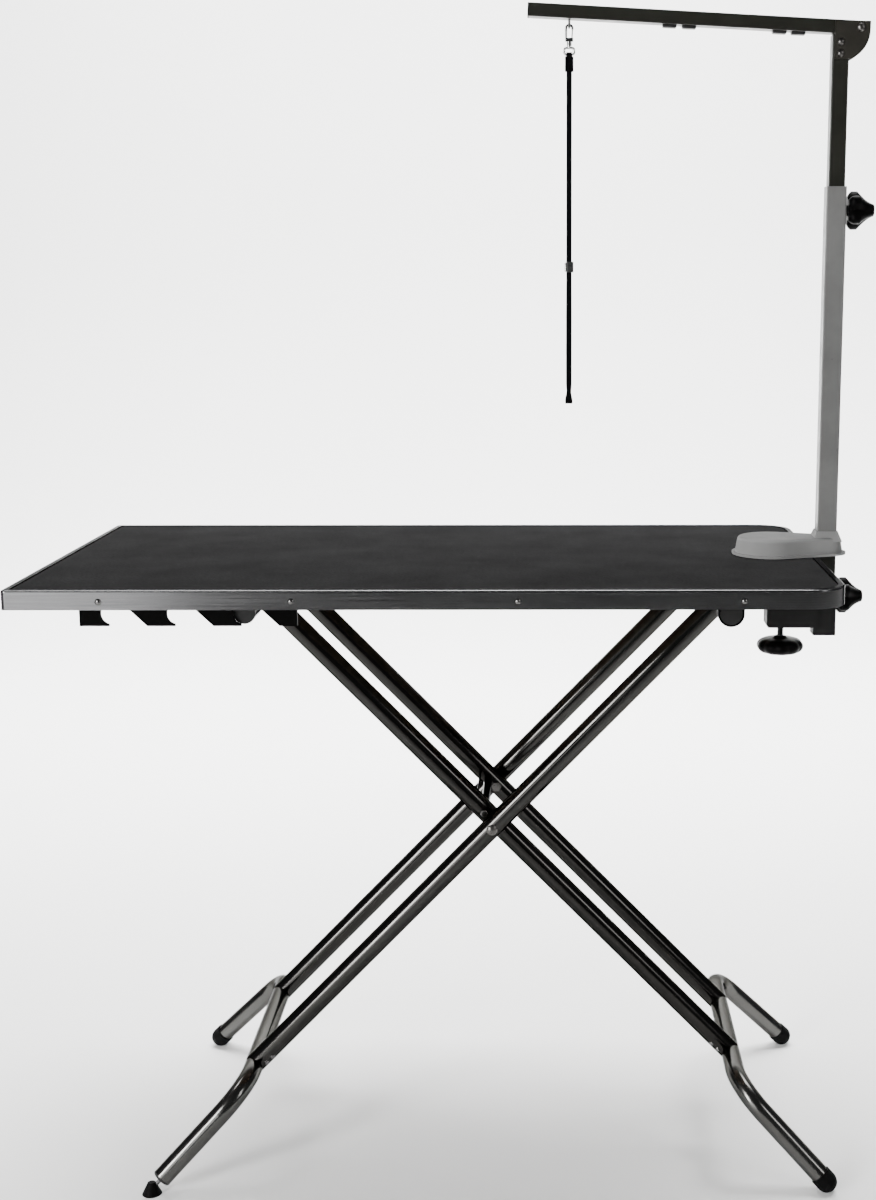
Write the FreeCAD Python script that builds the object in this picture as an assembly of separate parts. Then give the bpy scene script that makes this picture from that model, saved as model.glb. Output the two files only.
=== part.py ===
"""Folding grooming table with a height-adjustable arm and noose.

Frame: millimetres, +Z up, +X along the table towards the arm, +Y across the table, away from its front edge.
The origin is on the floor, under the middle of the whole object's box.
"""

import FreeCAD, Part
import math
import os

V = FreeCAD.Vector

# ---- driving dimensions -------------------------------------------------------------------------

# Table top
table_length = 1110.0
datum_from_left = 553.0  # from the left edge to the datum that places along the table are measured from
table_width = 610.0
table_height = 890.0
band_height = 26.0
band_wall = 2.0
lip_width = 9.0
lip_thickness = 3.5
bottom_lip_width = 10.0
bottom_lip_thickness = 1.6
corner_left = 7.0
corner_right = 52.0
mat_gap = 1.0
mat_thickness = 2.5
jaw_knob_reach = 71.0  # how far the lower knob stands out past the table's right edge
edge_screw_drop = 15.0
edge_screw_places = (-425.0, -174.0, 122.0, 418.0)  # from the datum

# Crossed legs
leg_radius = 15.0
leg_wall = 1.5
leg_slope = 45.9  # degrees above the floor
upper_arm = 470.0  # along a leg, from a top tube to the cross pivot
lower_arm = 511.0  # along a leg, from the cross pivot to the foot's cross part
hinge_drop = 42.5  # from the table's surface down to the top tubes
hinge_from_datum = 407.0
inner_leg_y = 88.0
outer_leg_y = 128.0
inner_top_half = 237.0
outer_top_half = 247.0
top_cap_thickness = 3.0
pivot_bolt_radius = 4.0
running_gap = 0.06
brace_along = 18.0  # from the cross pivot up the inner legs
brace_radius = 6.5
tie_along = 35.0
tie_radius = 1.6
rivet_along = (478.0, 491.0)

# Feet
foot_radius = 14.0
foot_wall = 1.5
foot_corner_half = 200.0
foot_tip_half = 243.0
foot_bend = 65.0
floor_along = 710.3  # along a leg, from the cross pivot to the floor
foot_tip_height = 14.7  # from the floor to the middle of a rubber foot's round end
foot_cap_length = 13.0
foot_cap_radius = 15.6
plug_tube_end = 678.0
plug_thickness = 4.0
levelling_x = -407.5  # from the datum
levelling_radius = 14.0
levelling_height = 17.5
levelling_stud_radius = 3.0

# Hooked racks and hinge saddles under the top
rack_y = 243.0
rack_thickness = 4.0
rack_flange_width = 25.0
rack_left = -467.0
rack_right = -175.0
rack_pitch = 88.5
rack_notches = 3
rack_tooth_drop = 59.0  # below the table's surface
rack_seat_radius = 14.2
saddle_inner_y = 226.0
saddle_outer_y = 250.0
saddle_radius = 18.0
saddle_flange_half = 34.0
flange_thickness = 3.0

# Grooming arm post
post_x = 571.5  # from the datum
lower_post_width = 28.5
lower_post_bore = 24.0
upper_post_width = 23.5
post_wall = 1.6
clamp_tube_width = 28.0
clamp_tube_bore = 24.5
lower_post_top = 1419.0
upper_post_bottom = 1119.0
upper_post_top = 1625.6
post_knob_z = 1386.0
shoe_lobe_x = 490.5
shoe_lobe_radius = 57.0
shoe_tail_radius = 30.0
shoe_height = 26.0
shoe_lip = 3.5
shoe_inset = 4.0
shoe_draft = 4.5
neck_height = 9.0
neck_flare = 6.0

# Arm and its bracket
arm_pivot_x = 599.0
arm_pivot_z = 1635.0
arm_slope = 3.0
arm_width = 23.4
arm_height = 18.5
arm_wall = 1.5
arm_left = -464.0  # from the arm's pivot to the tube's outer end
arm_right = 11.0
arm_cap_thickness = 2.5
bracket_gap = 11.95
bracket_thickness = 2.6
bracket_left = 562.5
bracket_right = 612.0
bracket_top = 1643.5
bracket_bottom = 1592.5
bracket_round = 43.0
post_bolt_places = ((571.0, 1615.5), (571.0, 1600.0))
lug_places = (-267.0, -239.5, -112.5, -86.0)  # from the arm's pivot
lug_length = 20.0
lug_width = 14.0
lug_depth = 4.2

# Noose
noose_x = 191.5
eyelet_z = 1636.0
eyelet_half = 6.0
eyelet_wire = 1.7
hook_wire = 1.6
hook_half = 4.5
strap_width = 8.0
strap_thickness = 2.0
strap_top = 1576.5
strap_eye_top = 1597.0
slide_low = 1299.0
slide_high = 1314.0
noose_route = (  # y and z of the strap's two strands and its round end
    (-2.6, 1576.5),
    (-2.6, 1148.0),
    (-7.4, 1129.0),
    (-7.0, 1112.0),
    (7.0, 1112.0),
    (7.4, 1129.0),
    (2.6, 1148.0),
    (2.6, 1576.5),
)

# Clamp
jaw_knob_z = 826.0
jaw_left = 485.0
jaw_sleeve_left = 554.5
jaw_sleeve_right = 588.0
jaw_bottom = 781.5
jaw_top = 812.0
jaw_half_width = 22.0
sleeve_half_width = 17.0
sleeve_bottom = 769.0
sleeve_top = 846.0
screw_x = 508.0
screw_radius = 5.0
screw_gap = 0.08
wheel_bottom = 739.0
wheel_top = 766.0
wheel_radius = 35.2
pad_radius = 15.0
pad_thickness = 5.0
pad_gap = 0.1

# Star knobs
knob_stem_radius = 4.0
knob_lobe_reach = 28.2
knob_lobe_thickness = 20.0
knob_boss_radius = 8.5
post_knob_reach = 627.0  # x of the upper knob's outer end, from the datum
knob_depth = 38.0
washer_thickness = 1.2
knob_gap = 0.3

# ---- values worked out from them ----------------------------------------------------------------

overall_length = table_length + jaw_knob_reach
left_edge = -overall_length / 2
right_edge = left_edge + table_length
table_x = left_edge + datum_from_left
half_width = table_width / 2
board_bottom = table_height - band_height + bottom_lip_thickness
board_top = table_height - lip_thickness
slope = math.radians(leg_slope)
hinge_x = table_x + hinge_from_datum
hinge_z = table_height - hinge_drop
pivot_x = hinge_x - upper_arm * math.cos(slope)
pivot_z = hinge_z - upper_arm * math.sin(slope)
rack_tube_x = hinge_x - 2 * upper_arm * math.cos(slope)
foot_tube_end = (pivot_z - foot_tip_height) / math.sin(slope)
INNER = 1  # the inner frame runs down to the right
OUTER = -1  # the outer frame runs down to the left


# ---- shapes used more than once -----------------------------------------------------------------


def cylinder(start, direction, radius, length):
    return Part.makeCylinder(radius, length, V(*start), V(*direction))


def rod(start, end, radius):
    run = end - start
    return Part.makeCylinder(radius, run.Length, start, run)


def block(x0, x1, y0, y1, z0, z1):
    return Part.makeBox(x1 - x0, y1 - y0, z1 - z0, V(x0, y0, z0))


def across(points, y0, y1):
    """A flat outline of x and z points, as a solid from y0 to y1."""
    corners = [V(x, y0, z) for x, z in points]
    wire = Part.makePolygon(corners + corners[:1])
    return Part.Face(wire).extrude(V(0, y1 - y0, 0))


def joined(shapes):
    whole = shapes[0]
    for shape in shapes[1:]:
        whole = whole.fuse(shape)
    return whole.removeSplitter()


def without(shape, cutters):
    for cutter in cutters:
        shape = shape.cut(cutter)
    return shape


def level_edges(shape, z):
    return [e for e in shape.Edges if abs(e.BoundBox.ZMin - z) < 1e-6 and abs(e.BoundBox.ZMax - z) < 1e-6]


def rounded_plate(inset, z0, z1):
    """The table's outline, inset all round, as a slab."""
    x0, x1 = left_edge + inset, right_edge - inset
    y = half_width - inset
    left = max(corner_left - inset, 4.0)
    right = max(corner_right - inset, 4.0)
    diagonal = math.sqrt(0.5)
    edges = []
    corners = (
        (x1 - right, -y + right, right, 1, -1),
        (x1 - right, y - right, right, 1, 1),
        (x0 + left, y - left, left, -1, 1),
        (x0 + left, -y + left, left, -1, -1),
    )
    ends = []
    for cx, cy, r, sx, sy in corners:
        along_x = V(cx, cy + sy * r, z0)
        along_y = V(cx + sx * r, cy, z0)
        middle = V(cx + sx * r * diagonal, cy + sy * r * diagonal, z0)
        first, last = (along_x, along_y) if sx * sy < 0 else (along_y, along_x)
        edges.append(Part.Arc(first, middle, last).toShape())
        ends.append((first, last))
    for i in range(4):
        edges.append(Part.LineSegment(ends[i][1], ends[(i + 1) % 4][0]).toShape())
    wire = Part.Wire(Part.__sortEdges__(edges))
    return Part.Face(wire).extrude(V(0, 0, z1 - z0))


def washer_seat(outer_x):
    """Where a knob's boss ends, a small gap short of the washer."""
    return outer_x - knob_depth - washer_thickness - knob_gap


def rounded_path(points, bend=None, report=None):
    """Straight runs joined by tangent arcs: of one radius, or each as large as its runs allow."""
    edges = []
    start = points[0]
    for before, corner, after in zip(points, points[1:], points[2:]):
        arrive = (corner - before).normalize()
        leave = (after - corner).normalize()
        turn = arrive.getAngle(leave)
        radius = bend
        if radius is None:
            shorter = min((corner - before).Length, (after - corner).Length)
            radius = 0.45 * shorter / math.tan(turn / 2)
        if report:
            print(f"{report}: turn {math.degrees(turn):.0f} degrees, radius {radius:.1f} mm")
        reach = radius * math.tan(turn / 2)
        first = corner - arrive * reach
        last = corner + leave * reach
        inward = (leave - arrive).normalize()
        middle = corner + inward * (radius / math.cos(turn / 2) - radius)
        edges.append(Part.LineSegment(start, first).toShape())
        edges.append(Part.Arc(first, middle, last).toShape())
        start = last
    edges.append(Part.LineSegment(start, points[-1]).toShape())
    return Part.Wire(edges)


def swept_rod(path, radius):
    start = path.Edges[0].valueAt(path.Edges[0].FirstParameter)
    heading = path.Edges[0].tangentAt(path.Edges[0].FirstParameter)
    profile = Part.Wire(Part.makeCircle(radius, start, heading))
    return path.makePipeShell([profile], True, True)


def square_bar(x, width, z0, z1, corner=2.0):
    """An upright square bar about the post's axis."""
    bar = block(x - width / 2, x + width / 2, -width / 2, width / 2, z0, z1)
    upright = [e for e in bar.Edges if e.BoundBox.ZLength > z1 - z0 - 1]
    return bar.makeFillet(corner, upright)


def dome(seat, outward, radius, height):
    """A domed head standing on seat."""
    sphere_radius = (radius**2 + height**2) / (2 * height)
    ball = Part.makeSphere(sphere_radius, seat + outward * (height - sphere_radius))
    return ball.common(Part.makeCylinder(radius + 1, height + 1, seat, outward))


def pan_screw(x, y, z, direction, head=4.4, shank=1.75, length=14.0):
    """A dome-head screw driven in along direction, with its head on the surface at x, y, z."""
    into = V(*direction)
    seat = V(x, y, z)
    return joined([dome(seat, into * -1, head, 2.4), Part.makeCylinder(shank, length, seat, into)])


def hexagon(centre, axis, across_flats, length):
    """A hexagonal head or nut from centre along axis, which lies along Y."""
    radius = across_flats / math.sqrt(3)
    corners = []
    for i in range(7):
        angle = math.radians(60 * i)
        corners.append(centre + V(radius * math.cos(angle), 0, radius * math.sin(angle)))
    return Part.Face(Part.makePolygon(corners)).extrude(axis * length)


def star_knob(centre_z, outer_x):
    """A five-lobed clamping knob on an axis along X, with its boss at outer_x."""
    inner_x = outer_x - knob_depth
    hub_radius = knob_lobe_reach * 0.66
    pieces = [cylinder((inner_x, 0, centre_z), (1, 0, 0), hub_radius, knob_lobe_thickness)]
    lobe_radius = knob_lobe_reach * 0.3
    for i in range(5):
        angle = math.radians(90 + 72 * i)
        reach = knob_lobe_reach - lobe_radius
        y, z = reach * math.cos(angle), centre_z + reach * math.sin(angle)
        pieces.append(cylinder((inner_x, y, z), (1, 0, 0), lobe_radius, knob_lobe_thickness))
    cone_start = V(inner_x + knob_lobe_thickness, 0, centre_z)
    cone_length = knob_depth - knob_lobe_thickness
    pieces.append(Part.makeCone(hub_radius, knob_boss_radius, cone_length, cone_start, V(1, 0, 0)))
    return joined(pieces)


def frame_point(side, along, y):
    """A point of a leg frame's plane, that far down from the cross pivot."""
    return V(pivot_x + side * along * math.cos(slope), y, pivot_z - along * math.sin(slope))


def foot_direction(side, hand):
    """The way a foot's end runs, from its bend to the floor."""
    corner = frame_point(side, lower_arm, hand * foot_corner_half)
    tip = frame_point(side, floor_along, hand * foot_tip_half)
    return (tip - corner).normalize()


def foot_end(side, hand, along):
    """The point of a foot's end run that is that far down the frame."""
    share = (along - lower_arm) / (floor_along - lower_arm)
    y = foot_corner_half + share * (foot_tip_half - foot_corner_half)
    return frame_point(side, along, hand * y)


# ---- leg frames ---------------------------------------------------------------------------------

Y = V(0, 1, 0)
below_floor = block(-900, 900, -500, 500, -60, 0)
top_tube_core = {
    INNER: rod(frame_point(INNER, -upper_arm, -400), frame_point(INNER, -upper_arm, 400), leg_radius),
    OUTER: rod(frame_point(OUTER, -upper_arm, -400), frame_point(OUTER, -upper_arm, 400), leg_radius),
}


def foot_tube_solids(side, front_end, back_end):
    """A foot tube's outer solid and its bore, bent from one length."""
    points = [
        foot_end(side, -1, front_end),
        frame_point(side, lower_arm, -foot_corner_half),
        frame_point(side, lower_arm, foot_corner_half),
        foot_end(side, 1, back_end),
    ]
    path = rounded_path(points, foot_bend)
    return swept_rod(path, foot_radius), swept_rod(path, foot_radius - foot_wall)


def leg(side, y, fittings):
    """One straight leg, coped onto its top tube and its foot, and drilled for its fittings."""
    top = frame_point(side, -upper_arm, y)
    bottom = frame_point(side, lower_arm, y)
    tube = rod(top, bottom, leg_radius).cut(rod(top, bottom, leg_radius - leg_wall))
    foot_core = rod(frame_point(side, lower_arm, -130), frame_point(side, lower_arm, 130), foot_radius)
    if side == OUTER:
        foot_core = foot_solid[OUTER]
    return without(tube, [top_tube_core[side], foot_core] + fittings)


def top_tube(side, half):
    front = frame_point(side, -upper_arm, -half)
    back = frame_point(side, -upper_arm, half)
    return rod(front, back, leg_radius).cut(rod(front, back, leg_radius - leg_wall))


def top_caps(side, half):
    """Plugs in a top tube's two ends, each with a rim that covers the tube's end."""
    caps = []
    for hand in (-1, 1):
        seat = frame_point(side, -upper_arm, hand * half)
        outward = Y * hand
        rim = Part.makeCylinder(leg_radius, top_cap_thickness, seat, outward)
        spigot = Part.makeCylinder(leg_radius - leg_wall, 14, seat, outward * -1)
        caps.append(rim.fuse(spigot).removeSplitter())
    return caps


def rubber_foot(side, hand):
    """A rubber sleeve over a foot's end, round below and flat where it meets the floor."""
    direction = foot_direction(side, hand)
    tip = foot_end(side, hand, foot_tube_end)
    start = tip - direction * foot_cap_length
    sleeve = Part.makeCylinder(foot_cap_radius, foot_cap_length, start, direction)
    round_end = Part.makeSphere(foot_cap_radius, tip)
    tube = Part.makeCylinder(foot_radius, foot_cap_length, start, direction)
    return without(joined([sleeve, round_end]), [tube, below_floor])


def leg_rivets(side, y_places):
    """Two dome-headed rivets on the outer side of each leg's lower end."""
    rivets = []
    normal = V(math.sin(slope), 0, side * math.cos(slope)) * side
    for y in y_places:
        hand = 1 if y > 0 else -1
        outward = (Y * (0.8 * hand) - normal * 0.6).normalize()
        for along in rivet_along:
            seat = frame_point(side, along, y) + outward * (leg_radius - 0.2)
            head = dome(seat, outward, 3.6, 2.2)
            rivets.append(head.fuse(Part.makeCylinder(2.0, 6.0, seat, outward * -1)))
    return [r.removeSplitter() for r in rivets]


foot_solid = {}
foot_bore = {}
foot_solid[INNER], foot_bore[INNER] = foot_tube_solids(INNER, foot_tube_end, foot_tube_end)
foot_solid[OUTER], foot_bore[OUTER] = foot_tube_solids(OUTER, plug_tube_end, foot_tube_end)

# Cross pivot: a bolt on each side, from the outer leg through the inner one.
pivot = V(pivot_x, 0, pivot_z)
pivot_bolts = []
pivot_spacers = []
pivot_nuts = []
for hand in (-1, 1):
    outward = Y * hand
    outer_face = outer_leg_y + leg_radius
    inner_face = inner_leg_y - leg_radius
    shank = rod(pivot + outward * (inner_face - 7), pivot + outward * outer_face, pivot_bolt_radius)
    head = dome(pivot + outward * outer_face, outward, 8.0, 3.8)
    pivot_bolts.append(shank.fuse(head).removeSplitter())
    spacer_start = pivot + outward * (inner_leg_y + leg_radius + 0.4)
    spacer_length = outer_leg_y - inner_leg_y - 2 * leg_radius - 0.6
    spacer = Part.makeCylinder(8.0, spacer_length, spacer_start, outward)
    pivot_spacers.append(spacer.cut(shank))
    nut = hexagon(pivot + outward * (inner_face - 0.4), outward * -1, 13.0, 6.0)
    pivot_nuts.append(nut.cut(shank))

# Cross bars between the inner legs, just above the pivot.
brace_centre = frame_point(INNER, -brace_along, 0)
inner_leg_cores = [
    rod(frame_point(INNER, -upper_arm, y), frame_point(INNER, lower_arm, y), leg_radius)
    for y in (-inner_leg_y, inner_leg_y)
]
brace_bar = rod(brace_centre - Y * inner_leg_y, brace_centre + Y * inner_leg_y, brace_radius)
brace_half = inner_leg_y + leg_radius + 6.5
brace_stud = rod(brace_centre - Y * brace_half, brace_centre + Y * brace_half, 3.0)
cross_brace = joined([without(brace_bar, inner_leg_cores), brace_stud])
brace_nuts = []
for hand in (-1, 1):
    seat = brace_centre + Y * (hand * (inner_leg_y + leg_radius + 0.2))
    brace_nuts.append(hexagon(seat, Y * hand, 10.0, 5.0).cut(brace_stud))
tie_centre = frame_point(INNER, -tie_along, 0)
tie_rod = rod(tie_centre - Y * inner_leg_y, tie_centre + Y * inner_leg_y, tie_radius)

inner_rivets = leg_rivets(INNER, (-inner_leg_y, inner_leg_y))
outer_rivets = leg_rivets(OUTER, (-outer_leg_y, outer_leg_y))
pivot_hole_inner = rod(pivot - Y * 200, pivot + Y * 200, pivot_bolt_radius + running_gap)
pivot_hole_outer = rod(pivot - Y * 200, pivot + Y * 200, pivot_bolt_radius)
inner_fittings = [pivot_hole_inner, cross_brace, tie_rod] + inner_rivets
outer_fittings = [pivot_hole_outer] + outer_rivets

# Plug and levelling foot at the outer frame's front end.
plug_axis = foot_direction(OUTER, -1)
plug_seat = foot_end(OUTER, -1, plug_tube_end)
stud_length = 22.0
stud_start = plug_seat - plug_axis * 14
levelling_stud = Part.makeCylinder(levelling_stud_radius, 14 + stud_length, stud_start, plug_axis)
plug_rim = Part.makeCylinder(foot_radius, plug_thickness, plug_seat, plug_axis)
outer_rim = [e for e in plug_rim.Edges if e.Closed and e.CenterOfMass.z < plug_seat.z - 1]
plug_rim = plug_rim.makeFillet(2.0, outer_rim)
plug_spigot = Part.makeCylinder(foot_radius - foot_wall, 18, plug_seat, plug_axis * -1)
stud_hole = Part.makeCylinder(
    levelling_stud_radius + running_gap, 80, plug_seat - plug_axis * 40, plug_axis
)
tube_plug = plug_rim.fuse(plug_spigot).removeSplitter().cut(stud_hole)
levelling_centre = V(table_x + levelling_x, plug_seat.y + plug_axis.y * 22, 0)
levelling_cone = Part.makeCone(levelling_radius, 5.5, levelling_height, levelling_centre)
levelling_cone = levelling_cone.makeFillet(1.8, level_edges(levelling_cone, levelling_height))
levelling_pad = levelling_cone.cut(stud_hole)


# ---- table top ----------------------------------------------------------------------------------


def edge_screws():
    screws = []
    z = table_height - edge_screw_drop
    for place in edge_screw_places:
        screws.append(pan_screw(table_x + place, -half_width, z, (0, 1, 0)))
        screws.append(pan_screw(table_x + place, half_width, z, (0, -1, 0)))
    return screws


def edge_band(screws):
    """The aluminium edging: a wall, a rounded lip over the mat's edge and a lip below the board."""
    bottom = table_height - band_height
    whole = rounded_plate(0, bottom, table_height)
    whole = whole.makeFillet(2.6, level_edges(whole, table_height))
    hollow = rounded_plate(band_wall, board_bottom, board_top)
    above = rounded_plate(lip_width, board_top, table_height + 1)
    below = rounded_plate(bottom_lip_width, bottom - 1, board_bottom)
    return without(whole, [hollow, above, below] + screws)


def rack(hand):
    """A hooked rack: a flange under the board and a row of slanted teeth that hold the leg tube."""
    y0, y1 = sorted((hand * rack_y, hand * (rack_y + rack_thickness)))
    flange_y = sorted((hand * rack_y, hand * (rack_y + rack_flange_width)))
    low = table_height - rack_tooth_drop
    high = board_bottom - flange_thickness
    x0, x1 = table_x + rack_left, table_x + rack_right
    plate = block(x0, x1, y0, y1, low, board_bottom)
    flange = block(x0, x1, flange_y[0], flange_y[1], high, board_bottom)
    for i in range(rack_notches):
        x = rack_tube_x - i * rack_pitch
        mouth = [
            (x - 3.2, low - 1),
            (x + 49, low - 1),
            (x + 48, low),
            (x + 15, high),
            (x, high),
            (x - 3.2, hinge_z),
        ]
        plate = plate.cut(across(mouth, y0 - 1, y1 + 1))
        plate = plate.cut(cylinder((x, y0 - 1, hinge_z), (0, 1, 0), rack_seat_radius, y1 - y0 + 2))
    return joined([plate, flange])


def rack_screw_places(hand):
    y = hand * (rack_y + rack_thickness + 0.5 * (rack_flange_width - rack_thickness))
    return [(table_x + x, y) for x in (rack_left + 22, 0.5 * (rack_left + rack_right), rack_right - 22)]


def hinge_saddle(hand):
    """A saddle under the board in which the outer frame's top tube turns."""
    y0, y1 = sorted((hand * saddle_inner_y, hand * saddle_outer_y))
    body = cylinder((hinge_x, y0, hinge_z), (0, 1, 0), saddle_radius, y1 - y0)
    cheeks = block(hinge_x - saddle_radius, hinge_x + saddle_radius, y0, y1, hinge_z, board_bottom)
    flange = block(
        hinge_x - saddle_flange_half,
        hinge_x + saddle_flange_half,
        y0,
        y1,
        board_bottom - flange_thickness,
        board_bottom,
    )
    bore = cylinder((hinge_x, y0 - 1, hinge_z), (0, 1, 0), leg_radius + running_gap, y1 - y0 + 2)
    return joined([body, cheeks, flange]).cut(bore)


def saddle_screw_places(hand):
    y = hand * 0.5 * (saddle_inner_y + saddle_outer_y)
    reach = 0.5 * (saddle_radius + saddle_flange_half)
    return [(hinge_x - reach, y), (hinge_x + reach, y)]


def underside_screws(places):
    seat = board_bottom - flange_thickness
    return [pan_screw(x, y, seat, (0, 0, 1), head=3.6, shank=2.0, length=15.0) for x, y in places]


# ---- arm post -----------------------------------------------------------------------------------


def teardrop(x_big, r_big, x_small, r_small, z):
    """An outline of two circles and the lines that touch both."""
    tilt = math.acos((r_big - r_small) / (x_small - x_big))
    big_top = V(x_big + r_big * math.cos(tilt), r_big * math.sin(tilt), z)
    big_bottom = V(big_top.x, -big_top.y, z)
    small_top = V(x_small + r_small * math.cos(tilt), r_small * math.sin(tilt), z)
    small_bottom = V(small_top.x, -small_top.y, z)
    edges = [
        Part.Arc(big_top, V(x_big - r_big, 0, z), big_bottom).toShape(),
        Part.LineSegment(big_bottom, small_bottom).toShape(),
        Part.Arc(small_bottom, V(x_small + r_small, 0, z), small_top).toShape(),
        Part.LineSegment(small_top, big_top).toShape(),
    ]
    return Part.Wire(edges)


def square_outline(x, half, z):
    corners = [V(x - half, -half, z), V(x + half, -half, z), V(x + half, half, z), V(x - half, half, z)]
    return Part.makePolygon(corners + corners[:1])


def arm_shoe():
    """The cast shoe that sits on the table's edge, with the post's flared neck at its narrow end."""
    x_big, x_small = table_x + shoe_lobe_x, table_x + post_x
    top = table_height + shoe_height
    lip_outline = teardrop(x_big, shoe_lobe_radius, x_small, shoe_tail_radius, table_height)
    lip = Part.Face(lip_outline).extrude(V(0, 0, shoe_lip))
    levels = []
    for z, inset in ((table_height, shoe_inset), (top, shoe_inset + shoe_draft)):
        levels.append(teardrop(x_big, shoe_lobe_radius - inset, x_small, shoe_tail_radius - inset, z))
    body = Part.makeLoft(levels, True, True)
    body = body.makeFillet(5.0, level_edges(body, top))
    half = lower_post_width / 2 + 1.2
    flared = square_outline(x_small, half + neck_flare, top - 6)
    straight = square_outline(x_small, half, top + neck_height)
    neck = Part.makeLoft([flared, straight], True, True)
    shoe_outline = teardrop(x_big, shoe_lobe_radius, x_small, shoe_tail_radius, top - 8)
    within = Part.Face(shoe_outline).extrude(V(0, 0, 40))
    post_pocket = square_bar(x_small, lower_post_width, table_height + 2, table_height + 60)
    tube_pocket = square_bar(x_small, clamp_tube_width, table_height - 1, table_height + 2)
    return without(joined([lip, body, neck.common(within)]), [post_pocket, tube_pocket])


def lower_post():
    x = table_x + post_x
    outer = square_bar(x, lower_post_width, table_height + 2, lower_post_top)
    bore = square_bar(x, lower_post_bore, table_height + 2, lower_post_top, 1.0)
    return outer.cut(bore)


def upper_post():
    x = table_x + post_x
    outer = square_bar(x, upper_post_width, upper_post_bottom, upper_post_top)
    bore = square_bar(x, upper_post_width - 2 * post_wall, upper_post_bottom, upper_post_top, 1.0)
    return outer.cut(bore)


def bracket_plate(hand):
    """A side plate with a round lower corner, bolted to the post and holding the arm's pivot."""
    y0, y1 = sorted((hand * bracket_gap, hand * (bracket_gap + bracket_thickness)))
    x0, x1 = table_x + bracket_left, table_x + bracket_right
    centre = V(x1 - bracket_round, y0, bracket_top - 11.5)
    outline = [
        Part.LineSegment(V(x0, y0, bracket_bottom), V(x0, y0, bracket_top)).toShape(),
        Part.LineSegment(V(x0, y0, bracket_top), V(x1, y0, bracket_top)).toShape(),
        Part.LineSegment(V(x1, y0, bracket_top), V(x1, y0, centre.z)).toShape(),
    ]
    drop = centre.z - bracket_bottom
    end_x = centre.x + math.sqrt(bracket_round**2 - drop**2)
    middle = math.radians(-35)
    arc_middle = centre + V(bracket_round * math.cos(middle), 0, bracket_round * math.sin(middle))
    outline.append(Part.Arc(V(x1, y0, centre.z), arc_middle, V(end_x, y0, bracket_bottom)).toShape())
    outline.append(Part.LineSegment(V(end_x, y0, bracket_bottom), V(x0, y0, bracket_bottom)).toShape())
    return Part.Face(Part.Wire(outline)).extrude(V(0, y1 - y0, 0))


def through_bolt(x, z, half, head=6.0):
    """A bolt along Y with a domed head in front and a nut behind."""
    shank = cylinder((x, -half, z), (0, 1, 0), 4.0, 2 * half)
    top = dome(V(x, -half, z), V(0, -1, 0), head, 3.0)
    nut = hexagon(V(x, half, z), Y, 11.0, 5.0)
    return joined([shank, top, nut])


# ---- arm ----------------------------------------------------------------------------------------

arm_pivot = V(table_x + arm_pivot_x, 0, arm_pivot_z)


def tilted(shape):
    """A shape made level, with the arm's pivot at the origin, brought to its place on the arm."""
    placed = shape.copy()
    placed.rotate(V(0, 0, 0), Y, arm_slope)
    placed.translate(arm_pivot)
    return placed


def arm_tube():
    half_y, half_z = arm_width / 2, arm_height / 2
    outer = block(arm_left, arm_right, -half_y, half_y, -half_z, half_z)
    bore_y, bore_z = half_y - arm_wall, half_z - arm_wall
    bore = block(arm_left, arm_right, -bore_y, bore_y, -bore_z, bore_z)
    long_edges = [e for e in outer.Edges if e.BoundBox.XLength > 100]
    hole = cylinder((0, -20, 0), (0, 1, 0), 4.0 + running_gap, 40)
    return tilted(without(outer.makeFillet(1.5, long_edges), [bore, hole]))


def arm_caps():
    caps = []
    half_y, half_z = arm_width / 2, arm_height / 2
    for x, outward in ((arm_left, -1), (arm_right, 1)):
        rim_x = sorted((x, x + outward * arm_cap_thickness))
        rim = block(rim_x[0], rim_x[1], -half_y, half_y, -half_z, half_z)
        rim = rim.makeFillet(1.0, rim.Edges)
        plug_x = sorted((x, x - outward * 5))
        bore_y, bore_z = half_y - arm_wall, half_z - arm_wall
        plug = block(plug_x[0], plug_x[1], -bore_y, bore_y, -bore_z, bore_z)
        caps.append(tilted(rim.fuse(plug).removeSplitter()))
    return caps


def arm_lugs():
    """Pairs of low rounded bumps under the arm that keep a noose from sliding along it."""
    lugs = []
    for x in lug_places:
        z = -arm_height / 2
        lug = block(x - lug_length / 2, x + lug_length / 2, -lug_width / 2, lug_width / 2, z - lug_depth, z)
        low_edges = [e for e in lug.Edges if e.BoundBox.ZMin < z - 0.1]
        lugs.append(tilted(lug.makeFillet(2.2, low_edges)))
    return lugs


def arm_eyelet():
    """A wire staple under the arm, open along the arm, for the snap hook."""
    x = table_x + noose_x
    arm_axis_z = arm_pivot_z + (arm_pivot_x - noose_x) * math.tan(math.radians(arm_slope))
    high = arm_axis_z - arm_height / 2 + 0.9
    points = [
        V(x, -eyelet_half, high),
        V(x, -eyelet_half, eyelet_z),
        V(x, eyelet_half, eyelet_z),
        V(x, eyelet_half, high),
    ]
    return swept_rod(rounded_path(points, 2.6), eyelet_wire)


# ---- noose --------------------------------------------------------------------------------------

hook_arc_z = eyelet_z + eyelet_wire + 0.25 + hook_wire - hook_half
hook_x = table_x + noose_x
hook_body_top = 1622.0
hook_body_bottom = 1617.0
swivel_bottom = 1611.5
gate_pin = V(hook_x + 3.6, 0, 1619.6)
ring_low = 1599.5
ring_high = 1608.6
ring_half = 7.0


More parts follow.
